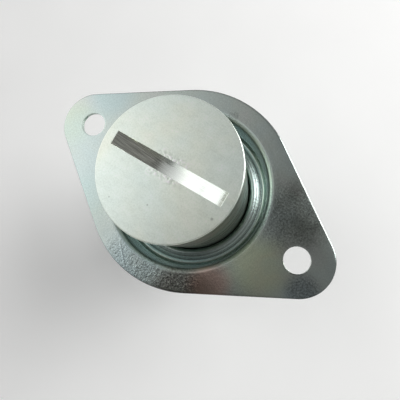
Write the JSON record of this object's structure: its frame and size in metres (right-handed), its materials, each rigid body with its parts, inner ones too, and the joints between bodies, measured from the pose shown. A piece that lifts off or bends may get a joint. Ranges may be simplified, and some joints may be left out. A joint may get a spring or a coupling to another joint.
{
  "type": "quarter-turn fastener",
  "caption": "Self-ejecting panel fastener: a slotted round stud, pushed out by a spring, in a deep-drawn cup with a diamond flange; press and turn locks its spiral cam.",
  "frame": {"origin": "middle of the line between the rivet holes, on the flange's underside", "axes": "+X through the rivet holes, +Z out of the panel towards the head"},
  "size_m": [0.0562, 0.0362, 0.0463],
  "materials": {
    "zinc_sheet": "clear-passivated zinc on pressed sheet, bluish with faint tints",
    "zinc_turned": "satin clear-passivated zinc on a turned face",
    "zinc_washer": "satin zinc",
    "spring_wire": "drawn wire",
    "dark_spring_steel": "blackened spring steel"
  },
  "bodies": {
    "housing": {"flanged_cup": "zinc_sheet", "ejector_spring": "spring_wire"},
    "carriage": {"thrust_washer": "zinc_washer"},
    "stud": {"stud": "zinc_turned", "retaining_ring": "dark_spring_steel"}
  },
  "joints": [
    {"name": "stud_press", "type": "slide", "parent": "housing", "child": "carriage", "axis": [0, 0, -1], "range_m": [0, 0.014], "stiffness_N_per_m": 900, "springref_m": -0.008, "deforming": ["ejector_spring"]},
    {"name": "stud_turn", "type": "hinge", "parent": "carriage", "child": "stud", "pos_m": [0, 0, 0], "axis": [0, 0, -1], "range_deg": [0, 90]}
  ]
}
